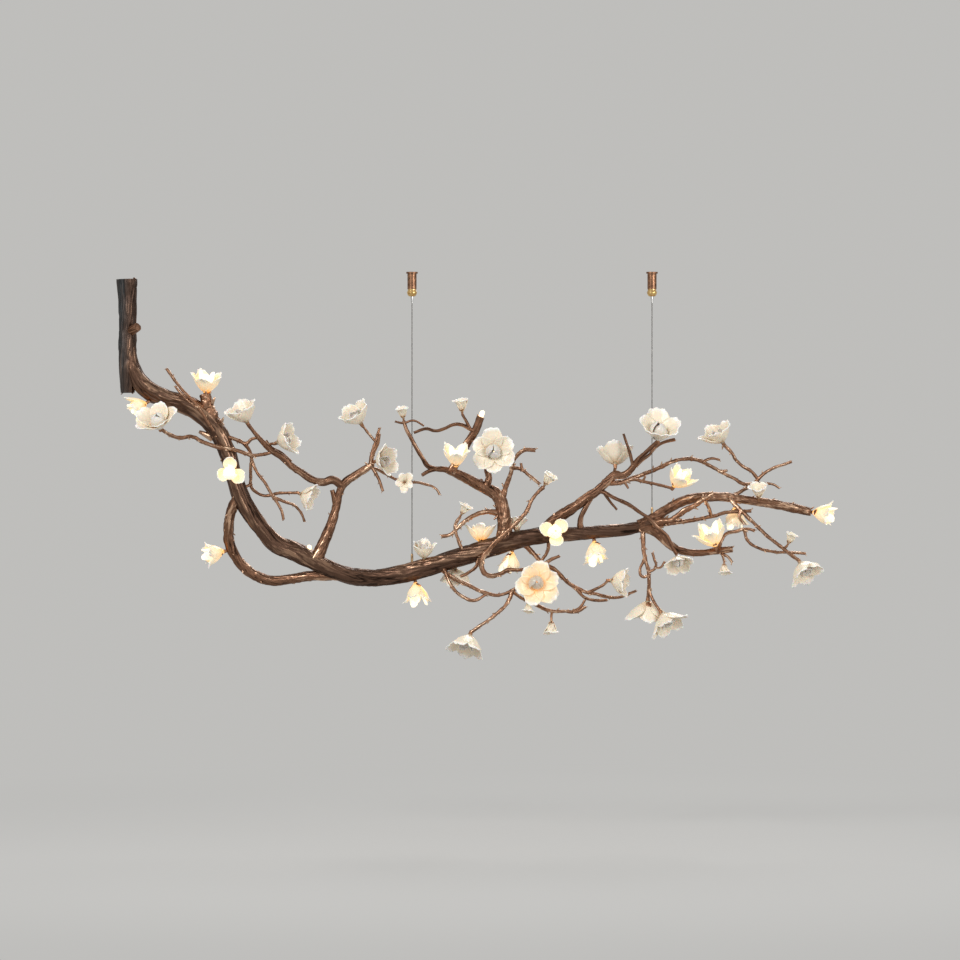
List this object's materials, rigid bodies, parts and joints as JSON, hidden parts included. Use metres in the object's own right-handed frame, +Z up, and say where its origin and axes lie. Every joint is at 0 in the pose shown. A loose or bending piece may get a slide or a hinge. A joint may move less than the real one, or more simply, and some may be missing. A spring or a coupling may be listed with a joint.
{
  "type": "branch chandelier",
  "caption": "Ceiling chandelier shaped as a gnarled bronze branch with lit and unlit porcelain blossoms, hung level from wire ropes held in brass ceiling cable grips.",
  "frame": {"origin": "on the ceiling plane, midway between the two ceiling anchors", "axes": "+Z up, +X along the branch to its thin forked end, -Y towards the viewer of the picture"},
  "size_m": [1.7886, 0.2023, 0.9698],
  "materials": {
    "lacquered_brass": "polished and lacquered",
    "nickel": "nickel plated",
    "ball_steel": "ground balls",
    "spring_steel": "drawn wire",
    "wire_rope": "bright wire rope",
    "pale_bronze": "satin",
    "dark_bronze": "dark bark patina with copper ridges",
    "copper_bronze": "copper-brown patina, ridged bark",
    "twig_bronze": "copper-brown patina, worn pale at knots",
    "calyx_bronze": "copper-brown patina",
    "porcelain": "thin white bisque glaze, shaded grey and copper at the heart",
    "lit_porcelain": "thin white glaze lit from inside",
    "lit_lamp": "frosted warm LED"
  },
  "bodies": {
    "ceiling": {"anchor_cups": "lacquered_brass", "gripper_bodies": "lacquered_brass", "left_nozzle_spring": "spring_steel", "right_nozzle_spring": "spring_steel"},
    "left_nozzle": {"left_release_nozzle": "nickel", "left_clamp_balls": "ball_steel"},
    "right_nozzle": {"right_release_nozzle": "nickel", "right_clamp_balls": "ball_steel"},
    "cable_ends": {"cable_tails": "wire_rope"},
    "branch": {"arch_side_flower": "porcelain", "arch_top_flower": "porcelain", "cable_ferrules": "pale_bronze", "calyx_cups": "calyx_bronze", "centre_twigs": "twig_bronze", "crown_flower": "porcelain", "crown_limb": "copper_bronze", "far_low_flower": "porcelain", "fork_back_flower": "porcelain", "fork_top_flower": "porcelain", "hanging_lit_flower": "lit_porcelain", "inner_left_flower": "porcelain", "knob_flower": "lit_porcelain", "lamp_stub_limb": "copper_bronze", "led_lamps": "lit_lamp", "left_arch_limb": "copper_bronze", "left_bridge_limb": "copper_bronze", "left_cable": "wire_rope", "left_end_back_flower": "lit_porcelain", "left_end_front_flower": "porcelain", "left_side_flower": "porcelain", "left_twigs": "twig_bronze", "left_upright_flower": "porcelain", "loop_flower": "lit_porcelain", "low_arm_flower": "lit_porcelain", "low_front_flower": "porcelain", "lower_loop_limb": "copper_bronze", "lower_right_limb": "copper_bronze", "lowest_flower": "porcelain", "main_trunk": "dark_bronze", "right_cable": "wire_rope", "right_end_flower": "lit_porcelain", "right_fork_limb": "copper_bronze", "right_twigs": "twig_bronze", "right_upright_flower": "porcelain", "small_blossoms": "porcelain", "stub_root_flower": "lit_porcelain", "thorn_twig_flower": "lit_porcelain", "trunk_back_flower": "lit_porcelain", "trunk_front_flowers": "lit_porcelain", "trunk_top_flower": "porcelain", "twin_flowers": "porcelain", "under_big_flower": "lit_porcelain", "under_left_flower": "porcelain", "under_left_lit_flower": "lit_porcelain", "under_middle_flower": "lit_porcelain", "under_right_lit_flower": "lit_porcelain", "under_right_side_flower": "porcelain", "under_twigs": "twig_bronze", "upper_right_limb": "copper_bronze", "upright_trunk": "dark_bronze"}
  },
  "joints": [
    {"name": "left_nozzle_press", "type": "slide", "parent": "ceiling", "child": "left_nozzle", "axis": [0, 0, 1], "range_m": [0, 0.003], "stiffness_N_per_m": 1000, "springref_m": -0.003, "deforming": ["left_nozzle_spring"]},
    {"name": "right_nozzle_press", "type": "slide", "parent": "ceiling", "child": "right_nozzle", "axis": [0, 0, 1], "range_m": [0, 0.003], "stiffness_N_per_m": 1000, "springref_m": -0.003, "deforming": ["right_nozzle_spring"]},
    {"name": "height_adjust", "type": "slide", "parent": "ceiling", "child": "cable_ends", "axis": [0, 0, 1], "range_m": [-0.012, 0.012]},
    {"name": "branch_swing", "type": "hinge", "parent": "cable_ends", "child": "branch", "pos_m": [0, 0, -0.09], "axis": [1, 0, 0], "range_deg": [-10, 10]}
  ]
}
